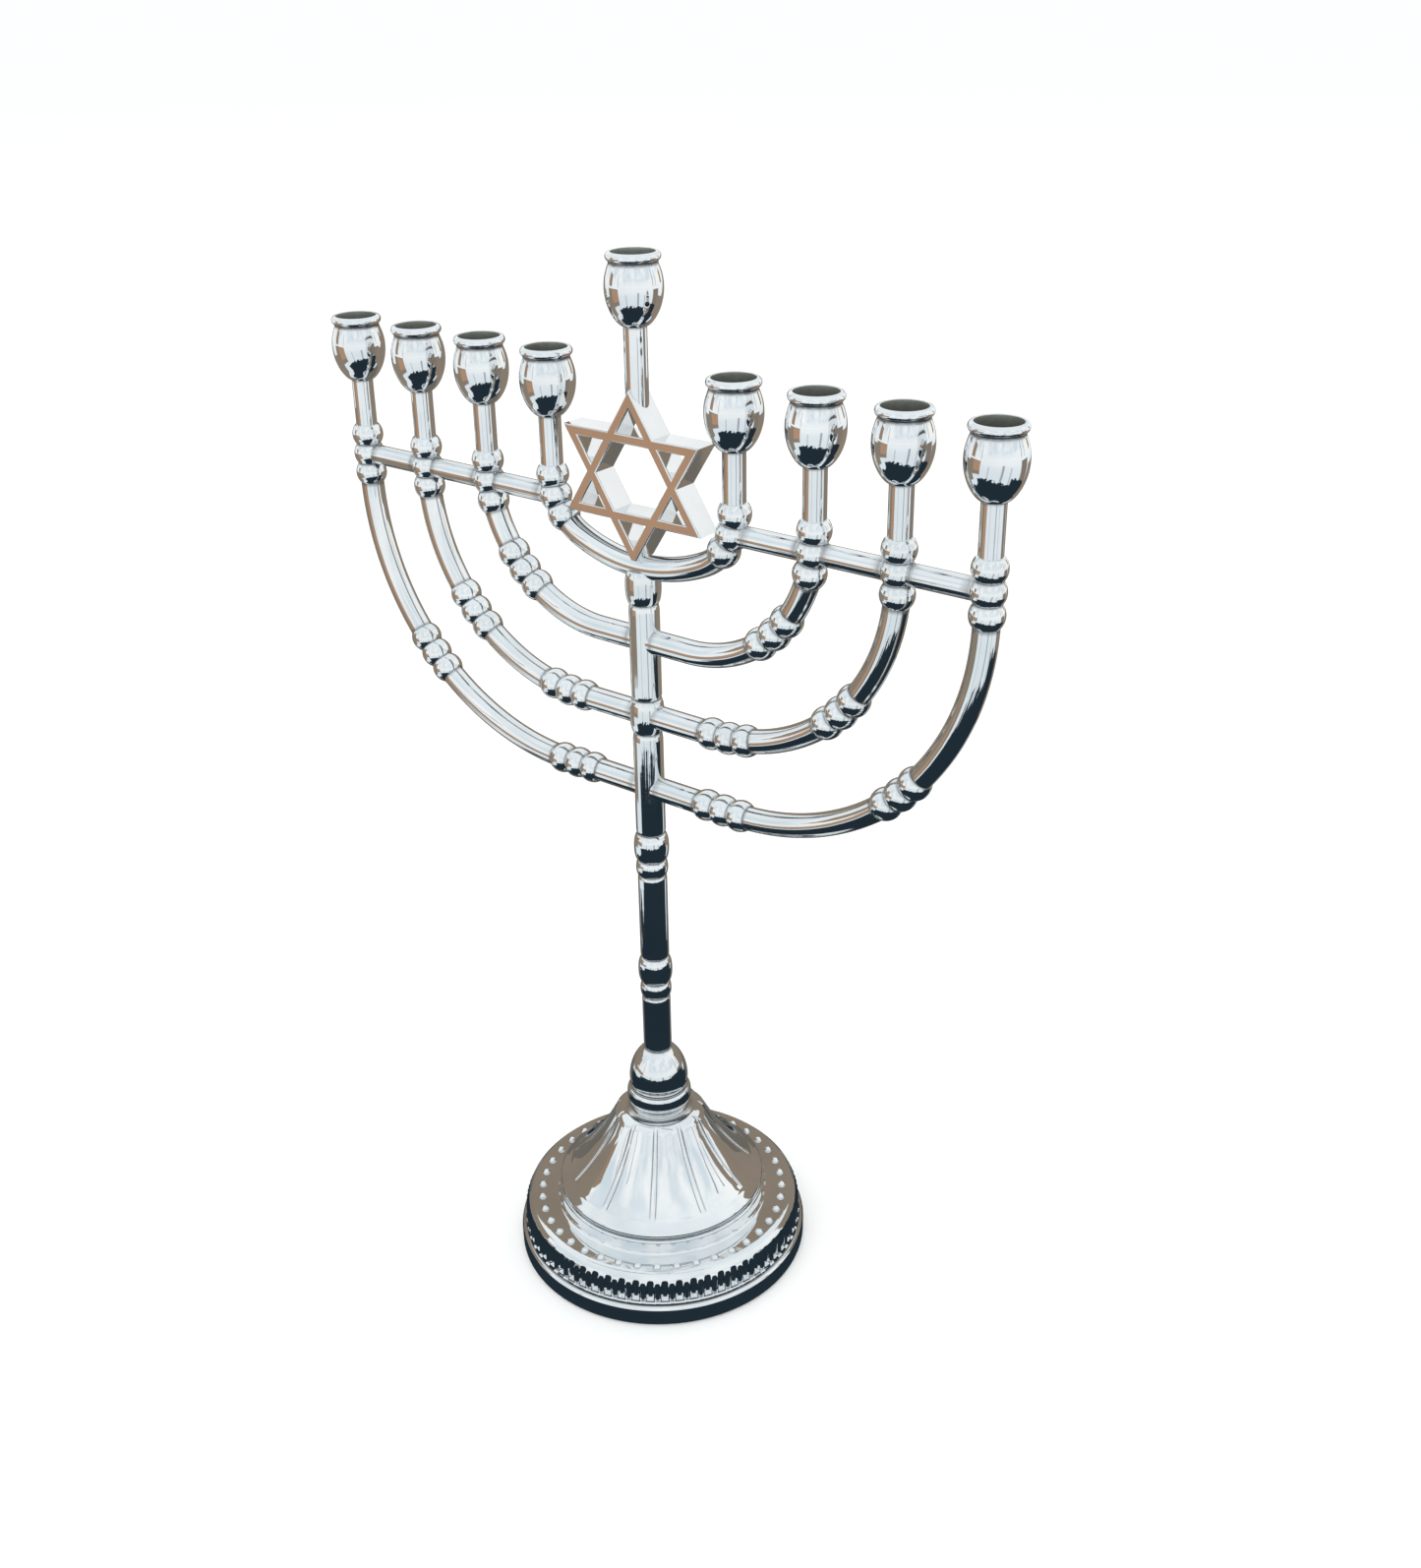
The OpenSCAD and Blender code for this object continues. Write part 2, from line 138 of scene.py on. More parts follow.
def add(tree, kind, inputs=None, **settings):
    """A node with its settings made, and its inputs set to values or joined to other nodes."""
    node = tree.nodes.new(kind)
    for key, value in settings.items():
        setattr(node, key, value)
    for key, value in (inputs or {}).items():
        if isinstance(value, bpy.types.NodeSocket):
            tree.links.new(value, node.inputs[key])
        else:
            node.inputs[key].default_value = value
    return node


def math_node(tree, operation, a, b=0.0, clamp=False):
    """The result of a sum on values or sockets."""
    node = add(tree, "ShaderNodeMath", {0: a, 1: b}, operation=operation, use_clamp=clamp)
    return node.outputs[0]


def remap(tree, value, low, high, to_low=0.0, to_high=1.0):
    """Turns low..high into to_low..to_high with soft ends."""
    node = add(tree, "ShaderNodeMapRange", {
        "Value": value, "From Min": low, "From Max": high, "To Min": to_low, "To Max": to_high},
        interpolation_type="SMOOTHSTEP")
    return node.outputs[0]


def mix_color(tree, factor, a, b):
    """Colour a where factor is 0 and colour b where it is 1."""
    return add(tree, "ShaderNodeMix", {0: factor, 6: a, 7: b}, data_type="RGBA").outputs[2]


def rgba(r, g, b):
    """An opaque colour."""
    return (r, g, b, 1.0)


# ---- Materials ----

def noise(tree, where, scale, detail=3.0, roughness=0.5):
    """Soft noise, mostly between 0.3 and 0.7; scale counts its features per metre of where."""
    return add(tree, "ShaderNodeTexNoise", {"Vector": where, "Scale": scale, "Detail": detail,
                                            "Roughness": roughness}).outputs["Fac"]


def plate(name, tint, shade, low_rough, high_rough, wave):
    """Polished plated metal: faint smudges and waves, hairline scratches, and creases made dark with
    grime and painted shade.
    """
    grime_and_shade_strength, grime_and_shade_color = 0.75, rgba(0.035, 0.036, 0.040)
    material = bpy.data.materials.new(name)
    tree = new_nodes(material)
    where = add(tree, "ShaderNodeTexCoord").outputs["Object"]
    grime = add(tree, "ShaderNodeAttribute", attribute_name="grime").outputs["Fac"]
    smudge = noise(tree, where, 55, 4, 0.55)
    speck = noise(tree, where, 1400, 2, 0.6)
    stretched = add(tree, "ShaderNodeMapping", {"Vector": where, "Scale": (900, 900, 60)}).outputs[0]
    hairline = noise(tree, stretched, 1.0, 2, 0.7)
    grime_and_shade_mask = math_node(tree, "MULTIPLY", grime, remap(tree, speck, 0.2, 0.8, 0.7, 1.0), clamp=True)
    color = mix_color(tree, remap(tree, smudge, 0.3, 0.7), rgba(*tint), rgba(*shade))
    # Creases go towards near-black: painted shade, with some grime.
    color = mix_color(tree, math_node(tree, "MULTIPLY", grime_and_shade_mask, grime_and_shade_strength), color, grime_and_shade_color)
    rough = remap(tree, smudge, 0.25, 0.75, low_rough, high_rough)
    rough = math_node(tree, "ADD", rough, remap(tree, hairline, 0.62, 0.80, 0.0, 0.05))
    rough = math_node(tree, "ADD", rough, math_node(tree, "MULTIPLY", grime_and_shade_mask, 0.35), clamp=True)
    ripple = noise(tree, where, 150, 2, 0.4)
    relief = math_node(tree, "ADD", ripple, math_node(tree, "MULTIPLY", speck, 0.012))
    bump = add(tree, "ShaderNodeBump", {"Height": relief, "Strength": 1.0, "Distance": wave * MM})
    shader = add(tree, "ShaderNodeBsdfPrincipled", {
        "Base Color": color, "Metallic": 1.0, "Roughness": rough, "Normal": bump.outputs[0]})
    add(tree, "ShaderNodeOutputMaterial", {"Surface": shader.outputs[0]})
    return material


def dull_well():
    """Inside of the candle wells and of the foot: unpolished and grey, darkened by soot and painted
    shade in its creases, and darker towards the bottom of the wells.
    """
    material = bpy.data.materials.new("dull_well")
    tree = new_nodes(material)
    where = add(tree, "ShaderNodeTexCoord").outputs["Object"]
    cloud = noise(tree, where, 260, 5, 0.65)
    grain = noise(tree, where, 2600, 2, 0.5)
    soot_and_shade = add(tree, "ShaderNodeAttribute", attribute_name="grime").outputs["Fac"]
    light, dark = rgba(0.50, 0.51, 0.46), rgba(0.34, 0.34, 0.30)
    color = mix_color(tree, remap(tree, cloud, 0.3, 0.7), light, dark)
    # Painted shade and soot from the mask: dark in creases and towards the bottom of the wells.
    color = mix_color(tree, math_node(tree, "MULTIPLY", soot_and_shade, 0.8), color, rgba(0.04, 0.04, 0.035))
    bump = add(tree, "ShaderNodeBump", {"Height": grain, "Strength": 0.5, "Distance": 0.04 * MM})
    shader = add(tree, "ShaderNodeBsdfPrincipled", {
        "Base Color": color, "Metallic": 0.85, "Roughness": remap(tree, cloud, 0.2, 0.8, 0.34, 0.55),
        "Normal": bump.outputs[0]})
    add(tree, "ShaderNodeOutputMaterial", {"Surface": shader.outputs[0]})
    return material


def brushed_steel():
    """Tie rod, washer and nut: machined steel with fine turning lines and a few stains."""
    material = bpy.data.materials.new("brushed_steel")
    tree = new_nodes(material)
    where = add(tree, "ShaderNodeTexCoord").outputs["Object"]
    flattened = add(tree, "ShaderNodeMapping", {"Vector": where, "Scale": (60, 60, 4200)}).outputs[0]
    lines = noise(tree, flattened, 1, 3)
    stain = noise(tree, where, 140, 4, 0.6)
    clean, stained = rgba(0.50, 0.50, 0.49), rgba(0.30, 0.28, 0.25)
    color = mix_color(tree, remap(tree, stain, 0.35, 0.75), clean, stained)
    bump = add(tree, "ShaderNodeBump", {"Height": lines, "Strength": 0.4, "Distance": 0.02 * MM})
    shader = add(tree, "ShaderNodeBsdfPrincipled", {
        "Base Color": color, "Metallic": 1.0, "Roughness": remap(tree, lines, 0.2, 0.8, 0.26, 0.46),
        "Normal": bump.outputs[0]})
    add(tree, "ShaderNodeOutputMaterial", {"Surface": shader.outputs[0]})
    return material


def make_materials():
    """Plates are given by two tints, lowest and highest roughness, and height of the waves in mm."""
    plates = {
        "bright": ((0.88, 0.90, 0.91), (0.80, 0.825, 0.84), 0.025, 0.07, 0.05),
        "cup": ((0.89, 0.91, 0.92), (0.82, 0.84, 0.86), 0.02, 0.06, 0.035),
        "star": ((0.87, 0.88, 0.88), (0.80, 0.81, 0.82), 0.05, 0.10, 0.02),
    }
    made = {key: plate(key + "_plate_polished", *values) for key, values in plates.items()}
    made["well"] = dull_well()
    made["steel"] = brushed_steel()
    return made


# ---- Outlines: lists of (radius, height or distance along a path) ----

def arc(cx, cy, r, start, end, steps):
    """Points on a circle round (cx, cy) from one angle to another, in degrees."""
    turns = [math.radians(start + (end - start) * k / steps) for k in range(steps + 1)]
    return [(cx + r * math.cos(t), cy + r * math.sin(t)) for t in turns]


def rounded(corners, steps=5):
    """Outline through corners given as (radius, height, fillet)."""
    points = []
    for k, (x, y, fillet) in enumerate(corners):
        here = Vector((x, y))
        if not fillet:
            points.append((x, y))
            continue
        back = (Vector(corners[k - 1][:2]) - here).normalized()
        on = (Vector(corners[k + 1][:2]) - here).normalized()
        half = back.angle(on) / 2
        centre = here + (back + on).normalized() * (fillet / math.sin(half))
        first = here + back * (fillet / math.tan(half)) - centre
        last = here + on * (fillet / math.tan(half)) - centre
        start = math.atan2(first.y, first.x)
        turn = (math.atan2(last.y, last.x) - start + math.pi) % (2 * math.pi) - math.pi
        for j in range(steps + 1):
            a = start + turn * j / steps
            points.append((centre.x + fillet * math.cos(a), centre.y + fillet * math.sin(a)))
    return points


def dense(points, step):
    """The same outline with extra points, so that none are further apart than step."""
    out = [points[0]]
    for a, b in zip(points, points[1:]):
        n = max(1, math.ceil(math.dist(a, b) / step - 1e-6))
        out += [(a[0] + (b[0] - a[0]) * k / n, a[1] + (b[1] - a[1]) * k / n) for k in range(1, n + 1)]
    return out


def ball_bead(middle):
    """One small bead between two creases: a slice of a ball, on a path."""
    steps = 14
    reach = math.asin(BEAD_PITCH / 2 / BEAD_R)
    turns = [-reach + 2 * reach * k / steps for k in range(steps + 1)]
    return [(BEAD_R * math.cos(t), middle + BEAD_R * math.sin(t)) for t in turns]


def barrel(low, high, r, waist, power=2.0, steps=18):
    """A bead whose side bulges from waist at its ends to r in the middle."""
    middle, half = (low + high) / 2, (high - low) / 2
    out = []
    for k in range(steps + 1):
        u = -math.cos(math.pi * k / steps)
        out.append((waist + (r - waist) * (1 - abs(u) ** power) ** 0.5, middle + u * half))
    return out


def creases(outline, extra=()):
    """How much grime and painted shade each point of an outline gets: 1 at a sharp inner corner or an
    extra point.
    """
    shallow, sharpest, reach = 18, 60, 0.32
    marks = [(outline[k], 1.0) for k in extra]
    for k in range(1, len(outline) - 1):
        a = Vector(outline[k]) - Vector(outline[k - 1])
        b = Vector(outline[k + 1]) - Vector(outline[k])
        if a.length < 1e-6 or b.length < 1e-6:
            continue
        turn = math.degrees(math.atan2(a.x * b.y - a.y * b.x, a.dot(b)))
        if turn < -shallow:
            marks.append((outline[k], min(1.0, -turn / sharpest)))
    return [max([amount * math.exp(-(math.dist(p, mark) / reach) ** 2) for mark, amount in marks],
                default=0.0) for p in outline]


# ---- Paths ----

def column_x(i):
    """How far column i stands from the stem."""
    return INNER_X + (i - 1) * CUP_PITCH


def bend_x(i):
    """How far the middle of arm i's bend is from the stem."""
    return column_x(i) - BEND_R[i]


# Half of the inner arm's turn: there it passes into the tighter bend inside an inner knot
BOW_TURN = math.asin(bend_x(1) / (BOW_R - BEND_R[1]))


def bend_z(i):
    """Height of the middle of arm i's bend."""
    if i == 1:
        return ARM_Z[1] + BOW_R - (BOW_R - BEND_R[1]) * math.cos(BOW_TURN)
    return ARM_Z[i] + BEND_R[i]


def upright(x=0.0, y=0.0, base=0.0):
    """A straight path up the line at x, y: distance along it is the height above base."""
    def at(s):
        return Vector((x, y, base + s)), Vector((1, 0, 0)), Vector((0, 1, 0))
    return at


def bar_turn(i):
    """How far round its bend arm i is where the crossbar meets it."""
    return math.asin(max(0.0, bend_z(i) - BAR_Z) / BEND_R[i])


def level_start(i):
    """Distance below the crossbar at which arm i becomes level."""
    straight = max(0.0, BAR_Z - bend_z(i))
    return straight + (math.pi / 2 - bar_turn(i)) * BEND_R[i]


def arm_path(i, side):
    """The path of arm i by distance below the crossbar, from its upright top to its level end."""
    r = BEND_R[i]

    def at(s):
        turn = bar_turn(i) + (s - max(0.0, BAR_Z - bend_z(i))) / r
        if turn < 0:
            x, z, t = column_x(i), bend_z(i) - turn * r, 0.0
        elif turn <= math.pi / 2:
            x, z, t = bend_x(i) + r * math.cos(turn), bend_z(i) - r * math.sin(turn), turn
        else:
            x, z, t = bend_x(i) - (s - level_start(i)), bend_z(i) - r, math.pi / 2
        down = Vector((-math.sin(t) * side, 0, -math.cos(t)))
        across = Vector((0, 1, 0))
        return Vector((x * side, 0, z)), across.cross(down), across
    return at


def bow_path():
    """The inner arm's path by distance from its middle, positive to the right."""
    def at(s):
        t = s / BOW_R
        onward = Vector((math.cos(t), 0, math.sin(t)))
        across = Vector((0, 1, 0))
        spot = Vector((BOW_R * math.sin(t), 0, ARM_Z[1] + BOW_R * (1 - math.cos(t))))
        return spot, across.cross(onward), across
    return at


def bar_path(side):
    """A crossbar's path by distance from the stem."""
    def at(s):
        across = Vector((0, 1, 0))
        return Vector((s * side, 0, BAR_Z)), across.cross(Vector((side, 0, 0))), across
    return at


# ---- Meshes ----

class Shape:
    """Vertices, faces, amounts of grime and painted shade, and material numbers of one piece, in
    millimetres.
    """

    def __init__(self):
        self.verts, self.faces, self.grime, self.paint = [], [], [], []

    def turned(self, outline, path, steps, grime=None, swell=None, paint=None):
        """Adds an outline turned round a path.

        swell gives a point's radius and extra grime and painted shade by its angle; paint picks a
        ring's material.
        """
        marks = grime if grime is not None else creases(outline)
        rings = []
        for k, (r, s) in enumerate(outline):
            centre, ux, uy = path(s)
            count = 1 if r < 1e-6 else steps
            rings.append(range(len(self.verts), len(self.verts) + count))
            for j in range(count):
                a = 2 * math.pi * j / steps
                radius, extra = swell(k, r, s, a) if swell and count > 1 else (r, 0.0)
                spot = centre + ux * (radius * math.cos(a)) + uy * (radius * math.sin(a))
                self.verts.append(spot)
                self.grime.append(min(1.0, marks[k] + extra))
        for k, (low, high) in enumerate(zip(rings, rings[1:])):
            number = paint(k) if paint else 0
            for j in range(steps):
                j2 = (j + 1) % steps
                if len(low) == 1 and len(high) == 1:
                    continue
                if len(low) == 1:
                    face = (low[0], high[j2], high[j])
                elif len(high) == 1:
                    face = (low[j], low[j2], high[0])
                else:
                    face = (low[j], low[j2], high[j2], high[j])
                self.faces.append(face)
                self.paint.append(number)
        return self

    def make(self, name, node, slot, materials, sharp=38):
        """Makes the mesh and its object; edges that turn by more than sharp degrees stay crisp."""
        mesh = bpy.data.meshes.new(name)
        mesh.from_pydata([v * MM for v in self.verts], [], self.faces)
        for material in materials:
            mesh.materials.append(material)
        mesh.polygons.foreach_set("material_index", self.paint)
        mesh.attributes.new("grime", "FLOAT", "POINT").data.foreach_set("value", self.grime)
        mesh.shade_smooth()
        mesh.set_sharp_from_angle(angle=math.radians(sharp))
        piece = bpy.data.objects.new(name, mesh)
        bpy.context.scene.collection.objects.link(piece)
        settle(piece, node)
        return piece


def settle(piece, node):
    """Puts a piece on its CAD node's body in that node's place."""
    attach(piece, frame["nodes"][node]["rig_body"])
    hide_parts(node)


def closed(outline, low, high):
    """An outline closed onto the path at both ends."""
    return [(0.0, low)] + outline + [(0.0, high)]


def bright_piece(node, whole, marks, path, steps, material):
    """One turned piece of bright plate in place of a CAD node."""
    shape = Shape().turned(whole, path, steps, grime=marks)
    shape.make(node + "_cast", node, "bright_plate", [material])


def turned_piece(node, outline, path, material, steps=72, ends=True):
    """A bright piece closed at both ends, darkened there with painted shade and grime where it meets
    its neighbours.
    """
    whole = closed(outline, outline[0][1], outline[-1][1])
    marks = creases(whole, (1, len(whole) - 2) if ends else ())
    bright_piece(node, whole, marks, path, steps, material)


# ---- Foot ----

def smooth(edge0, edge1, x):
    """0 at edge0 and beyond, 1 at edge1 and beyond, with soft ends."""
    t = max(0.0, min(1.0, (x - edge0) / (edge1 - edge0)))
    return t * t * (3 - 2 * t)


def along(points, x):
    """Height of the broken line through points at x."""
    for (x0, y0), (x1, y1) in zip(points, points[1:]):
        if x <= x1:
            return y0 + (y1 - y0) * (x - x0) / (x1 - x0)
    return points[-1][1]


def base_plate(material, under_material):
    """Foot: hollow underside with a hub, rolled lip, fluted wall, flat ring with domed beads, step.

    land is the wall's outline between the flutes as (height, radius), and rows are the heights of its
    points. Each pair of flutes is given as (middle and half width as parts of the pitch, radius of the
    floor, height of the lower end).
    """
    land = [(6.95, 43.3), (7.3, 43.3), (8.0, 42.95), (13.1, 42.9), (15.2, 41.95), (16.4, 40.7),
            (16.5, 40.6)]
    rows = [6.95, 7.1, 7.25, 7.4, 7.6, 7.8, 8.0, 8.25, 8.6, 9.1, 9.4, 10.0, 10.8, 11.6, 12.3, 12.8,
            13.2, 13.5, 13.8, 14.1, 14.4, 14.7, 14.95, 15.15, 15.35, 15.6, 16.0, 16.4]
    pair = ((0.265, 0.235, 42.0, 8.3), (0.755, 0.205, 42.42, 7.4))
    round_end, edge_soft, run_out = 0.3, 0.9, 3
    under = [(0.0, HUB_Z), (HUB_R, HUB_Z), (HUB_R, STEP_HOLLOW_Z), (STEP_HOLLOW_R, STEP_HOLLOW_Z),
             (STEP_HOLLOW_R, HOLLOW_Z), (HOLLOW_R, HOLLOW_Z)]
    outline = under + [(HOLLOW_R, 0.5), (HOLLOW_R + 0.5, 0.0), (LIP_FLAT_R, 0.0)]
    outline += arc(43.3, 1.2, 1.2, -75, 0, 9) + [(44.5, 2.4), (44.5, 3.8)]
    outline += arc(43.0, 5.2, 1.5, 0, 78, 10)
    first = len(outline)
    outline += [(along(land, z), z) for z in rows]
    last = len(outline)
    outline += [(40.5, 16.42)] + [(r, RING_Z) for r in (40.3, 39.2, BEAD_RING_R, 36.0, 34.2)]
    outline += arc(33.1, 17.4, 0.9, 270, 184, 6) + [(32.15, 18.6), (32.1, 20.2)]
    outline += arc(31.5, 20.4, 0.6, 5, 90, 6) + [(29.0, STEP_Z), (0.0, STEP_Z)]

    def flutes(k, r, s, a):
        if not first <= k < last:
            return r, 0.0
        t = (a / (2 * math.pi) * FLUTES) % 1.0
        out = r
        for middle, half, deep, low in pair:
            u = abs(t - middle) / half
            if u < 1 and s > low - round_end:
                side = edge_soft * (1 - math.sqrt(1 - u ** 4))
                cut = deep + side + run_out * smooth(low + 0.25, low - round_end, s)
                out = min(out, cut)
        return out, 0.0

    def inside_or_out(k):
        return 1 if k < len(under) else 0

    shape = Shape().turned(outline, upright(), FLUTES * 24, swell=flutes, paint=inside_or_out)
    bead = [(0.0, 16.2), (1.3, 16.2), (1.3, 16.52)] + arc(0.0, 16.4, 1.2, 8, 86, 9) + [(0.0, 17.6)]
    # Each bead's foot, where it meets the ring, is darkened with painted shade and grime.
    bead_grime = [1, 1, 0.7, 0.3, 0.1] + [0] * (len(bead) - 5)
    for k in range(FOOT_BEADS):
        a = 2 * math.pi * k / FOOT_BEADS
        place = upright(BEAD_RING_R * math.cos(a), BEAD_RING_R * math.sin(a))
        shape.turned(bead, place, 24, grime=bead_grime)
    shape.make("base_plate_cast", "base_plate", "bright_plate", [material, under_material], 50)


# The dome's side: a shoulder that passes into one hollow sweep at the angle SHOULDER. HEM_TURN is
# the sweep's angle at the hem.
SHOULDER, SHOULDER_R, SHOULDER_X, SWEEP_R, HEM_TURN = 22.73, 3.2, 10.6, 55.0, 233.29
SWEEP_X = SHOULDER_X + (SHOULDER_R + SWEEP_R) * math.cos(math.radians(SHOULDER))
SWEEP_Z = NECK_Z - SHOULDER_R + (SHOULDER_R + SWEEP_R) * math.sin(math.radians(SHOULDER))


def dome(material):
    """Bell-shaped cover: neck with fine lines, rounded petals with creases between them, plain hem."""
    side = arc(SWEEP_X, SWEEP_Z, SWEEP_R, HEM_TURN, 180 + SHOULDER, 72)
    shoulder = arc(SHOULDER_X, NECK_Z - SHOULDER_R, SHOULDER_R, SHOULDER, 90, 14)[1:]
    hem_r, hem_z = side[0]
    hem = [(hem_r - 1.2, STEP_Z + 0.55, 0), (hem_r + 0.1, hem_z - 1.15, 0.45), (hem_r, hem_z, 0)]
    outline = [(0.0, STEP_Z), (hem_r - 1.7, STEP_Z)] + rounded(hem, 6)
    first = len(outline)
    outline += side[1:] + shoulder
    last = len(outline)
    lines = ((8.6, 0.3), (8.6, 1.1), (8.35, 1.25), (8.35, 1.4), (8.6, 1.55), (8.6, 2.3), (8.4, 2.45),
             (8.4, 2.6), (8.6, 2.75))
    neck = [(8.9, NECK_Z, 0)] + [(r, NECK_Z + h, 0.1) for r, h in lines] + [(8.6, COLLAR_Z, 0)]
    outline += rounded(neck, 2) + [(0.0, COLLAR_Z)]
    crease_deep, petal_full, grime_and_shade_amount = 0.5, 0.6, 0.75

    def petals(k, r, s, a):
        """Petals swell between grooves whose walls are darkened with painted shade, and both fade out
        before the hem.
        """
        if not first <= k < last:
            return r, 0.0
        rise = (k - first) / (last - first)
        t = (((a + math.pi / 2) / (2 * math.pi) * PETALS) % 1.0) * 2 - 1
        gap = (1 - abs(t)) * math.pi * r / PETALS
        floor = 0.35 + 0.3 * smooth(0.9, 0.2, rise)
        begun = smooth(0.10, 0.14, rise)
        groove = smooth(floor + 0.4, floor, gap) * begun * smooth(0.97, 0.86, rise)
        wall = math.exp(-((gap - floor - 0.2) / 0.16) ** 2) * begun * smooth(0.95, 0.8, rise)
        lobe = (1 - t * t) * smooth(0.08, 0.45, rise) * smooth(1.0, 0.72, rise)
        end = math.exp(-((rise - 0.09) / 0.02) ** 2)
        return r + petal_full * lobe - crease_deep * groove - 0.12 * end, grime_and_shade_amount * wall
    Shape().turned(outline, upright(), PETALS * 96, swell=petals).make(
        "dome_cast", "dome", "bright_plate", [material], 50)


def collar_ring(material):
    """Wide ring under a thin one, between the dome's neck and the ball."""
    outline = barrel(COLLAR_Z, COLLAR_Z + 4.8, 9.7, 8.9, 2.6)
    outline += barrel(COLLAR_Z + 4.85, COLLAR_TOP_Z, 8.8, 8.35, 2.0, 8)
    turned_piece("collar_ring", outline, upright(), material, 112)


# ---- Stem ----

def ball_knop(material):
    """Acorn-shaped ball: widest just above its foot, then drawn in to the stem."""
    low = COLLAR_TOP_Z + FACE_GAP
    height = BALL_TOP_Z - low
    widest_r, widest_h, long_radius = 8.85, 1.6, 12.1
    outline = rounded([(8.0, low, 0), (8.62, low + 0.1, 0.3), (8.8, low + 1.2, 0)], 4)
    for k in range(25):
        h = widest_h + (height - widest_h) * math.sin(math.pi / 2 * k / 24)
        outline.append((widest_r * math.sqrt(1 - ((h - widest_h) / long_radius) ** 2), low + h))
    turned_piece("ball_knop", outline, upright(), material, 112)


def stem_piece(node, low, high, material, round_low=1.1, round_high=1.1):
    """Straight stem piece whose ends roll in a little where it meets its neighbours."""
    inset, steps = 0.45, 6
    ends = [(STEM_R - inset * (1 - math.sin(math.pi / 2 * k / steps)), (k / steps) ** 1.4)
            for k in range(steps + 1)]
    outline = [(r, low + round_low * part) for r, part in ends]
    outline += [(r, high - round_high * part) for r, part in reversed(ends)]
    turned_piece(node, dense(outline, 3.0), upright(), material)


def bead_collar(node, z, material):
    """Narrow ring with a larger bead on it."""
    outline = barrel(z, z + COLLAR_RING_H, 4.6, WAIST_R, 2.2)
    outline += barrel(z + COLLAR_RING_H, z + COLLAR_H, 5.0, 3.7, 2.4, 24)[1:]
    turned_piece(node, outline, upright(), material)


def knop(node, z, height, r, material):
    """Swelling that the arms of one row go into."""
    turned_piece(node, barrel(z, z + height, r, WAIST_R, 2.2, 24), upright(), material)


# ---- Arms, knots, bars and risers ----

def bead_run(centres):
    """Outline of a row of touching small beads."""
    out = []
    for c in centres:
        bead = ball_bead(c)
        out += bead[1:] if out else bead
    return out


def arm(i, side_name, material):
    """Quarter-round arm from its knot to the stem, with beads on the bend and on the level part."""
    to_stem = level_start(i) + bend_x(i)
    top, end = KNOT_REACH, to_stem - 1.0
    groups = [BEND_GROUP[i]]
    if i in LEVEL_GROUP_X:
        groups.append(to_stem - LEVEL_GROUP_X[i])
    outline = [(ARM_R, top)]
    for g in groups:
        run = bead_run([g - BEAD_PITCH, g, g + BEAD_PITCH])
        outline += dense([outline[-1], (ARM_R, run[0][1])], 1.0)[1:] + run
        outline.append((ARM_R, run[-1][1]))
    outline += dense([outline[-1], (ARM_R, end)], 1.0)[1:]
    whole = closed(outline, top, end)
    # Painted shade and grime where the arm meets the stem and its knot, besides the creases.
    stem_at, knot_at = to_stem - STEM_R - 0.1, 8.5
    marks = [max(m, math.exp(-((s - stem_at) / 0.5) ** 2), math.exp(-((s - knot_at) / 0.4) ** 2))
             for m, (_, s) in zip(creases(whole), whole)]
    path = arm_path(i, SIDES[side_name])
    bright_piece(f"{side_name}_{ARM_NAMES[i]}_arm", whole, marks, path, 56, material)


def knot(i, side_name, material):
    """Three beads where riser, crossbar and arm meet; an inner one also holds the inner arm's end."""
    node = f"knot_{side_name}_{i}"
    outline = bead_run([-BEAD_PITCH, 0.0, BEAD_PITCH])
    if i == 1:
        meet = (math.pi / 2 - BOW_TURN - bar_turn(1)) * BEND_R[1]
        outline += dense([(ARM_R, outline[-1][1]), (ARM_R, meet)], 0.6)
    turned_piece(node, outline, arm_path(i, SIDES[side_name]), material, 56, ends=False)


def inner_arm(material):
    """Bow over the stem's top that carries the inner pair of cups."""
    half = BOW_TURN * BOW_R
    outline = dense([(ARM_R, -half), (ARM_R, half)], 0.8)
    turned_piece("inner_arm", outline, bow_path(), material, 56, ends=False)


def crossbar(side_name, material):
    """Round bar through the four knots of one side, darkened a little with painted shade and grime
    where it enters each.
    """
    inset, grime_and_shade_amount, spread = 1.5, 0.8, 0.8
    outline = dense([(BAR_R, column_x(1) + inset), (BAR_R, column_x(4) - inset)], 1.2)
    whole = closed(outline, outline[0][1], outline[-1][1])
    edges = [column_x(i) + d for i in range(1, 5) for d in (-4.3, 4.3)]
    marks = [max(math.exp(-((s - e) / spread) ** 2) for e in edges) * grime_and_shade_amount for _, s in whole]
    bright_piece(f"{side_name}_crossbar", whole, marks, bar_path(SIDES[side_name]), 48, material)


def post(node, x, low, seat_z, material):
    """Round riser up to a cup's seat, with the threaded stud that the cup is screwed on."""
    top = seat_z - FACE_GAP
    side = dense([(RISER_R, low), (RISER_R, top)], 0.6)
    thread_deep, half_pitch = 0.2, 0.25
    thread = [(STUD_R - thread_deep * (k % 2), seat_z + 0.45 + half_pitch * k) for k in range(13)]
    stud = [(STUD_R, top)] + thread + [(STUD_R - thread_deep, seat_z + STUD_L)]
    whole = closed(side + stud, low, seat_z + STUD_L)
    marks = creases(whole, (1, len(side)))
    bright_piece(node, whole, marks, upright(x), 56, material)


def riser(i, side_name, material):
    """Post between a knot and a side cup."""
    x = column_x(i) * SIDES[side_name]
    post(f"riser_{side_name}_{i}", x, BAR_Z + KNOT_REACH, SIDE_RIM_Z - CUP_H, material)


# ---- Star ----

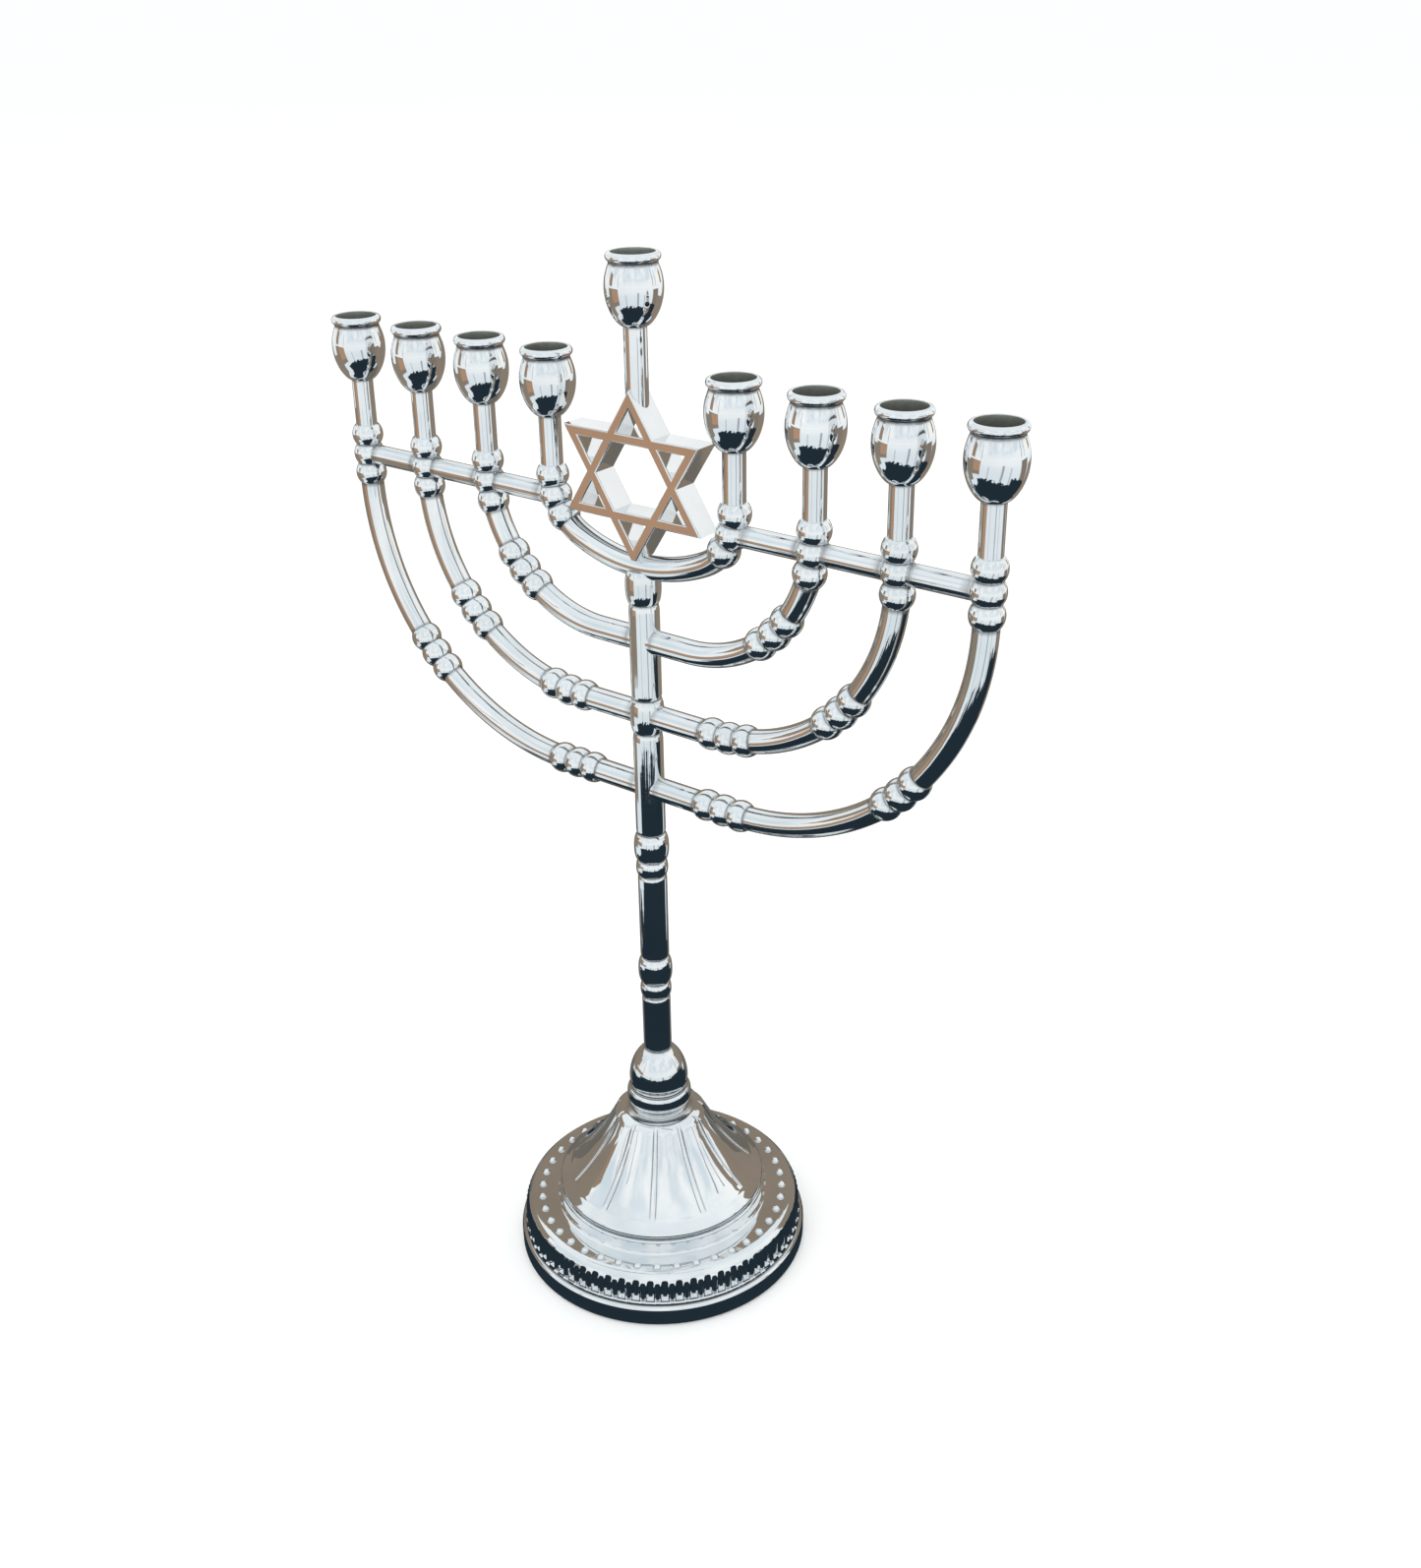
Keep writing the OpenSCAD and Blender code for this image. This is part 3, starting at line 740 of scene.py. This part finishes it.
def star_triangle(flip, inset):
    """One of the star's two triangles, drawn in by inset on every side; flip turns it upside down."""
    half, height = STAR_HALF_W, 1.5 * STAR_RZ
    inner = half * height / (half + math.hypot(half, height))
    shrink = 1 - inset / inner
    centre = inner - STAR_RZ / 2
    points = [(0, centre + (STAR_RZ - centre) * shrink), (half * shrink, centre - inner * shrink),
              (-half * shrink, centre - inner * shrink)]
    return [(x, y * flip) for x, y in points]


def clip(polygon, a, b, keep):
    """The part of a convex polygon on one side of the line from a to b."""
    def where(p):
        return keep * ((b[0] - a[0]) * (p[1] - a[1]) - (b[1] - a[1]) * (p[0] - a[0]))

    out = []
    for p, q in zip(polygon, polygon[1:] + polygon[:1]):
        dp, dq = where(p), where(q)
        if dp >= 0:
            out.append(p)
        if dp * dq < 0:
            t = dp / (dp - dq)
            out.append((p[0] + (q[0] - p[0]) * t, p[1] + (q[1] - p[1]) * t))
    return out


def cut_by(polygon, other, outside):
    """For each side of other, the part of polygon beyond it; or the part inside all sides."""
    edges = list(zip(other, other[1:] + other[:1]))
    area = sum(a[0] * b[1] - b[0] * a[1] for a, b in edges)
    turn = 1 if area > 0 else -1
    if outside:
        return [clip(polygon, a, b, -turn) for a, b in edges]
    for a, b in edges:
        polygon = clip(polygon, a, b, turn)
    return [polygon]


def star_loops():
    """The star's twelve-sided outline, then its six-sided opening and the small ones in its points."""
    up, down = star_triangle(1, 0), star_triangle(-1, 0)
    up_in, down_in = star_triangle(1, BAND_W), star_triangle(-1, BAND_W)
    tips = up + down
    notches = []
    for part in cut_by(up, down, True) + cut_by(down, up, True):
        notches += [p for p in part if min(math.dist(p, t) for t in tips) > 1e-6]
    ring = []
    for p in tips + notches:
        if all(math.dist(p, q) > 1e-4 for q in ring):
            ring.append(p)
    ring.sort(key=lambda p: math.atan2(p[1], p[0]))
    middle = cut_by(up_in, down_in, False)
    return [ring] + middle + cut_by(up_in, down, True) + cut_by(down_in, up, True)


def star(material):
    """Openwork star with softly bevelled bands; its lowest tip is cut off inside the inner arm."""
    same_point, bevel = 0.00001, 0.42
    curve = bpy.data.curves.new("star_outline", "CURVE")
    curve.dimensions, curve.fill_mode = "2D", "BOTH"
    curve.extrude, curve.bevel_depth = (STAR_T / 2 - bevel) * MM, bevel * MM
    curve.offset, curve.bevel_resolution = -bevel * MM, 3
    for loop in star_loops():
        spline = curve.splines.new("POLY")
        spline.points.add(len(loop) - 1)
        for point, (x, y) in zip(spline.points, loop):
            point.co = (x * MM, y * MM, 0, 1)
        spline.use_cyclic_u = True
    holder = bpy.data.objects.new("star_holder", curve)
    bpy.context.scene.collection.objects.link(holder)
    bpy.context.view_layer.update()
    filled = holder.evaluated_get(bpy.context.evaluated_depsgraph_get())
    mesh = bpy.data.meshes.new_from_object(filled)
    bpy.data.objects.remove(holder)
    mesh.transform(Matrix.Translation((0, 0, STAR_Z * MM)) @ Matrix.Rotation(math.pi / 2, 4, "X"))
    mesh.name = "star_cast"
    cutter = bmesh.new()
    cutter.from_mesh(mesh)
    bmesh.ops.remove_doubles(cutter, verts=cutter.verts[:], dist=same_point)
    whole = cutter.verts[:] + cutter.edges[:] + cutter.faces[:]
    cut = bmesh.ops.bisect_plane(cutter, geom=whole, plane_co=(0, 0, STAR_FOOT_Z * MM),
                                 plane_no=(0, 0, -1), clear_outer=True)
    rim = [e for e in cut["geom_cut"] if isinstance(e, bmesh.types.BMEdge)]
    bmesh.ops.holes_fill(cutter, edges=rim, sides=0)
    cutter.to_mesh(mesh)
    cutter.free()
    mesh.materials.clear()
    mesh.materials.append(material)
    mesh.attributes.new("grime", "FLOAT", "POINT")
    mesh.shade_smooth()
    mesh.set_sharp_from_angle(angle=math.radians(50))
    piece = bpy.data.objects.new("star_cast", mesh)
    bpy.context.scene.collection.objects.link(piece)
    weld = piece.modifiers.new("weld", "WELD")
    weld.merge_threshold = same_point
    piece.modifiers.new("normals", "WEIGHTED_NORMAL").keep_sharp = True
    settle(piece, "star")


def shamash_riser(material):
    """Post between the star and the middle cup, as far down as the star's tip is narrower than it."""
    grip = RISER_R * 1.5 * STAR_RZ / STAR_HALF_W
    post("shamash_riser", 0.0, STAR_Z + STAR_RZ - grip, TOTAL_H - CUP_H, material)


# ---- Cups ----

def cup(node, x, seat_z, plate_material, well_material):
    """Egg-shaped candle cup: socket for the stud, full side, neck groove, rolled rim, plain well."""
    seat_r, neck_r, widest, neck = 3.3, 6.15, CUP_H - 8.5, CUP_H - 2.75
    side = []
    for k in range(23):
        u = math.cos(math.pi / 2 * k / 22)
        side.append((seat_r + (CUP_R - seat_r) * (1 - u * u) ** 0.75, widest * (1 - u)))
    side[0] = (seat_r - 0.25, 0.0)
    side.insert(1, (seat_r, 0.22))
    for k in range(1, 15):
        v = k / 14
        drawn_in = (CUP_R - neck_r) * (1 - math.cos(math.pi / 2 * v)) ** 1.15
        side.append((CUP_R - drawn_in, widest + (neck - widest) * v))
    lip_middle = RIM_R - LIP_R
    lip = arc(lip_middle, CUP_H - LIP_R, LIP_R, -62, 90, 20)
    edge = [(lip_middle, CUP_H, 0), (WELL_R, CUP_H, 0.14), (WELL_R, CUP_H - 1.0, 0)]
    mouth = rounded(edge, 4)[1:]
    floor, fillet = CUP_H - WELL_DEPTH, 1.0
    well = [(WELL_R, h) for h in (14.0, 11.0, 8.0)]
    well += arc(WELL_R - fillet, floor + fillet, fillet, 0, -90, 6)
    socket = [(0.0, SOCKET_L), (SOCKET_R, SOCKET_L), (SOCKET_R, 0.0)]
    outline = socket + side + lip + mouth + well + [(0.0, floor)]
    groove = len(socket) + len(side) - 1
    marks = creases(outline, (len(socket), groove, groove + 1))
    rim_end = len(socket) + len(side) + len(lip) + len(mouth)
    # Through the grime-and-shade mask the well gets darker towards its bottom.
    for k in range(rim_end, len(outline)):
        marks[k] = min(1.0, 0.15 + 0.07 * (CUP_H - outline[k][1]))

    def well_or_plate(k):
        return 1 if k >= rim_end - 2 else 0

    place = upright(x, base=seat_z)
    shape = Shape().turned(outline, place, 96, grime=marks, paint=well_or_plate)
    shape.make(node + "_cast", node, "cup_plate", [plate_material, well_material], 46)


# ---- Studio, in metres ----

NAVY, BROWN, TAN = (0.017, 0.029, 0.040), (0.27, 0.225, 0.175), (0.47, 0.29, 0.185)
PALE, HORIZON, GREY = (0.80, 0.87, 0.905), (0.94, 0.975, 0.985), (0.20, 0.22, 0.24)
WARM, DUSK = (0.24, 0.20, 0.17), (0.165, 0.15, 0.13)
CAMERA_SIDE = -50.4
NO_LIMIT = 999
FLOOR_HALF, CARD_R, CARD_Z = 60, 4, 0.0004
BOARD_R, BOARD_START, BOARD_SPAN, BOARD_STEPS = 0.30, 98, 164, 60
PANEL_DISTANCE, PANEL_STEPS = 2.4, 6


def reflected_only(thing, name, material, scene):
    """Shows a card to polished metal and to nothing else."""
    thing.materials.append(material)
    card = bpy.data.objects.new(name, thing)
    scene.collection.objects.link(card)
    for kind in ("camera", "diffuse", "transmission", "volume_scatter", "shadow"):
        setattr(card, "visible_" + kind, False)


def lamp(name, kind, place, energy, **settings):
    """A light that doesn't show in the metal."""
    data = bpy.data.lights.new(name, kind)
    data.energy = energy
    for key, value in settings.items():
        setattr(data, key, value)
    light = bpy.data.objects.new(name, data)
    light.location = place
    light.visible_glossy = False
    bpy.context.scene.collection.objects.link(light)
    return light


def studio():
    """Plain pale floor, soft light, and cards that only the polished metal sees."""
    scene = bpy.context.scene
    scene.view_settings.view_transform = "Standard"
    mesh = bpy.data.meshes.new("floor")
    corners = [(x * FLOOR_HALF, y * FLOOR_HALF, 0) for x, y in ((-1, -1), (1, -1), (1, 1), (-1, 1))]
    mesh.from_pydata(corners, [], [(0, 1, 2, 3)])
    floor = bpy.data.objects.new("floor", mesh)
    scene.collection.objects.link(floor)
    material = bpy.data.materials.new("floor_paper")
    tree = new_nodes(material)
    where = add(tree, "ShaderNodeTexCoord").outputs["Object"]
    darker, lighter = rgba(0.925, 0.905, 0.885), rgba(0.94, 0.92, 0.90)
    tone = mix_color(tree, noise(tree, where, 3, 3), darker, lighter)
    shader = add(tree, "ShaderNodeBsdfPrincipled", {
        "Base Color": tone, "Roughness": 0.9, "Specular IOR Level": 0.1})
    add(tree, "ShaderNodeOutputMaterial", {"Surface": shader.outputs[0]})
    mesh.materials.append(material)
    sky()
    floor_card(scene)
    back_board(scene)
    side_panels(scene)
    lamp("overhead_softbox", "AREA", (0.1, -0.15, 1.7), 7.0, shape="DISK", size=1.8)
    sun = lamp("wide_fill", "SUN", (0, 0, 3), 0.55, angle=math.radians(80))
    sun.rotation_euler = (math.radians(12), math.radians(-10), 0)


def facing(tree, x, y):
    """Angle in degrees from the camera's side of the object, -180 to 180, growing to the right."""
    def times(value, factor):
        return math_node(tree, "MULTIPLY", value, factor)

    toward = math.radians(CAMERA_SIDE)
    c, s = math.cos(toward), math.sin(toward)
    along_view = math_node(tree, "ADD", times(x, c), times(y, s))
    across = math_node(tree, "SUBTRACT", times(y, c), times(x, s))
    return times(math_node(tree, "ARCTAN2", across, along_view), 180 / math.pi)


def around(turn):
    """Unit vector (x, y) for an angle in degrees from the camera's side."""
    t = math.radians(CAMERA_SIDE + turn)
    return math.cos(t), math.sin(t)


def window(tree, value, low, high, soft):
    """1 between low and high, with soft edges."""
    return math_node(tree, "MULTIPLY", remap(tree, value, low - soft, low + soft),
                     remap(tree, value, high - soft, high + soft, 1.0, 0.0))


def patch(tree, color, turn, turns, other, others, soft, paint, amount):
    """Paints a soft-edged patch between two angles and two values of the other measure."""
    inside = math_node(tree, "MULTIPLY", window(tree, turn, turns[0], turns[1], soft[0]),
                       window(tree, other, others[0], others[1], soft[1]))
    return mix_color(tree, math_node(tree, "MULTIPLY", inside, amount), color, rgba(*paint))


def finish_glow(tree, color):
    """Ends a card's material: it gives off its own colour and takes no light."""
    glow = add(tree, "ShaderNodeEmission", {"Color": color, "Strength": 1.0})
    add(tree, "ShaderNodeOutputMaterial", {"Surface": glow.outputs[0]})


def floor_card(scene):
    """A wide glowing card on the floor that only the metal sees, painting its reflections: dark near
    the foot, pale in front, warm at the sides.
    """
    mesh = bpy.data.meshes.new("floor_card")
    turns = [k * math.pi / 32 for k in range(64)]
    rim = [(CARD_R * math.cos(t), CARD_R * math.sin(t), CARD_Z) for t in turns]
    mesh.from_pydata(rim, [], [tuple(range(64))])
    material = bpy.data.materials.new("floor_card")
    tree = new_nodes(material)
    where = add(tree, "ShaderNodeTexCoord").outputs["Object"]
    x, y, _ = add(tree, "ShaderNodeSeparateXYZ", {0: where}).outputs
    squares = [math_node(tree, "POWER", value, 2.0) for value in (x, y)]
    far = math_node(tree, "SQRT", math_node(tree, "ADD", *squares))
    turn = facing(tree, x, y)
    behind = math_node(tree, "ABSOLUTE", turn)
    ragged = remap(tree, noise(tree, where, 14, 2), 0.35, 0.65, -0.03, 0.03)
    edge = math_node(tree, "ADD", far, ragged)
    # Each patch: angle and its range, distance and its range, softness of both, colour, strength
    patches = (
        (turn, (-110, -64), far, (0.44, 2.2), (2, 0.02), BROWN, 1.0),
        (turn, (-94, -64), far, (0.58, 1.8), (2, 0.02), TAN, 1.0),
        (turn, (78, 106), far, (0.3, 1.8), (2, 0.02), WARM, 1.0),
        (behind, (122, NO_LIMIT), far, (0.08, 0.33), (6, 0.01), DUSK, 1.0),
        (turn, (12, 19), far, (0.36, 1.3), (1.2, 0.05), GREY, 0.7),
        (turn, (-34, -30), far, (0.36, 1.0), (1.0, 0.05), GREY, 0.45),
        (turn, (40, 44), far, (0.36, 1.0), (1.0, 0.05), GREY, 0.5),
        (turn, (-75, 110), edge, (-1, 0.35), (2, 0.006), NAVY, 1.0),
        (turn, (48, 104), edge, (-1, 0.50), (3, 0.01), NAVY, 1.0),
        (turn, (-126, 126), edge, (-1, 0.20), (3, 0.01), NAVY, 1.0),
        (turn, (-NO_LIMIT, NO_LIMIT), far, (-1, 0.08), (1, 0.004), NAVY, 1.0),
    )
    # These colours are seen only in the metal: they are painted reflections.
    color = mix_color(tree, remap(tree, far, 0.4, 1.6), rgba(*PALE), rgba(*HORIZON))
    for values in patches:
        color = patch(tree, color, *values)
    finish_glow(tree, color)
    reflected_only(mesh, "floor_card", material, scene)


def back_board(scene):
    """A low curved glowing board round the back and the sides, seen only in the metal, which paints a
    brown reflection on the foot's flat parts.
    """
    mesh = bpy.data.meshes.new("back_board")
    turns = [BOARD_START + BOARD_SPAN * k / BOARD_STEPS for k in range(BOARD_STEPS + 1)]
    tops = [0.20 + 0.115 * smooth(55, 25, abs(turn - 180)) for turn in turns]
    ways = [around(turn) for turn in turns]
    verts = [(BOARD_R * x, BOARD_R * y, z * top) for z in (0, 1) for (x, y), top in zip(ways, tops)]
    mesh.from_pydata(verts, [], strip_faces(BOARD_STEPS))
    material = bpy.data.materials.new("back_board")
    tree = new_nodes(material)
    where = add(tree, "ShaderNodeTexCoord").outputs["Object"]
    lighter, darker = rgba(0.30, 0.245, 0.19), rgba(0.25, 0.205, 0.16)
    finish_glow(tree, mix_color(tree, noise(tree, where, 9, 3), lighter, darker))
    reflected_only(mesh, "back_board", material, scene)


def strip_faces(steps):
    """Faces of an upright strip whose lower points come first, then its upper ones."""
    return [(k, k + 1, k + steps + 2, k + steps + 1) for k in range(steps)]


def side_panels(scene):
    """Far upright glowing panels to either side, seen only in the metal as painted reflections: a
    bright window and a few darker things.

    Each is given by its angles from the camera's side, the angles of its lower and upper edge above
    the eye's height, and its colour.
    """
    panels = (
        ((-106, -90), (-1, 17), (0.34, 0.25, 0.18)),
        ((-64.2, -62), (-1, 23), (0.45, 0.47, 0.49)),
        ((76, 78.5), (-1, 28), (0.32, 0.34, 0.36)),
        ((90, 92), (-1, 21), (0.36, 0.38, 0.40)),
        ((100, 117), (1, 15), (1.05, 1.02, 0.93)),
        ((118, 127), (-1, 12), (0.22, 0.17, 0.13)),
    )
    eye_z, just_above_floor = 0.15, 0.002
    for number, ((first, last), rises, paint) in enumerate(panels, 1):
        mesh = bpy.data.meshes.new("side_panel")
        turns = [first + (last - first) * k / PANEL_STEPS for k in range(PANEL_STEPS + 1)]
        ways = [around(turn) for turn in turns]
        slopes = [math.tan(math.radians(rise)) for rise in rises]
        heights = [max(just_above_floor, eye_z + PANEL_DISTANCE * slope) for slope in slopes]
        verts = [(PANEL_DISTANCE * x, PANEL_DISTANCE * y, z) for z in heights for x, y in ways]
        mesh.from_pydata(verts, [], strip_faces(PANEL_STEPS))
        material = bpy.data.materials.new("side_panel")
        finish_glow(new_nodes(material), rgba(*paint))
        reflected_only(mesh, f"side_panel_{number}", material, scene)


def sky():
    """Soft white room with faint clouds, paler towards the horizon."""
    world = bpy.data.worlds.new("room")
    bpy.context.scene.world = world
    tree = new_nodes(world)
    where = add(tree, "ShaderNodeTexCoord").outputs["Generated"]
    z = add(tree, "ShaderNodeSeparateXYZ", {0: where}).outputs[2]
    rise = math_node(tree, "MULTIPLY", math_node(tree, "ARCSINE", z), 180 / math.pi)
    cloud = remap(tree, noise(tree, where, 2.4, 3), 0.38, 0.66)
    color = mix_color(tree, cloud, rgba(1.02, 1.03, 1.03), rgba(0.74, 0.83, 0.88))
    color = mix_color(tree, remap(tree, rise, 20, 75), color, rgba(0.88, 0.94, 0.965))
    color = mix_color(tree, remap(tree, rise, 3, 14), rgba(*HORIZON), color)
    back = add(tree, "ShaderNodeBackground", {"Color": color, "Strength": 1.0})
    add(tree, "ShaderNodeOutputWorld", {"Surface": back.outputs[0]})


# ---- Build ----

add_camera()
studio()
looks = make_materials()
bright = looks["bright"]
for steel in ("tie_rod", "clamp_washer", "clamp_nut"):
    frame["nodes"][steel].data.materials[0] = looks["steel"]
base_plate(bright, looks["well"])
dome(bright)
collar_ring(bright)
ball_knop(bright)
stem_piece("lower_stem", BALL_TOP_Z, LOWER_COLLAR_Z, bright)
bead_collar("lower_bead_collar", LOWER_COLLAR_Z, bright)
stem_piece("middle_stem", LOWER_COLLAR_Z + COLLAR_H, UPPER_COLLAR_Z, bright)
bead_collar("upper_bead_collar", UPPER_COLLAR_Z, bright)
stem_piece("branch_column", UPPER_COLLAR_Z + COLLAR_H, MIDDLE_KNOP_Z, bright, 1.4, 2.6)
knop("middle_knop", MIDDLE_KNOP_Z, KNOP_H, 4.8, bright)
stem_piece("upper_column", MIDDLE_KNOP_Z + KNOP_H, TOP_KNOP_Z, bright, 1.4, 2.6)
knop("top_knop", TOP_KNOP_Z, TOP_KNOP_H, 4.85, bright)
inner_arm(bright)
star(looks["star"])
shamash_riser(bright)
cup("shamash_cup", 0.0, TOTAL_H - CUP_H, looks["cup"], looks["well"])
side_seat_z = SIDE_RIM_Z - CUP_H
for side_name, side in SIDES.items():
    crossbar(side_name, bright)
    for number in ARM_NAMES:
        arm(number, side_name, bright)
    for number in range(1, 5):
        knot(number, side_name, bright)
        riser(number, side_name, bright)
        place_x = side * column_x(number)
        cup(f"cup_{side_name}_{number}", place_x, side_seat_z, looks["cup"], looks["well"])
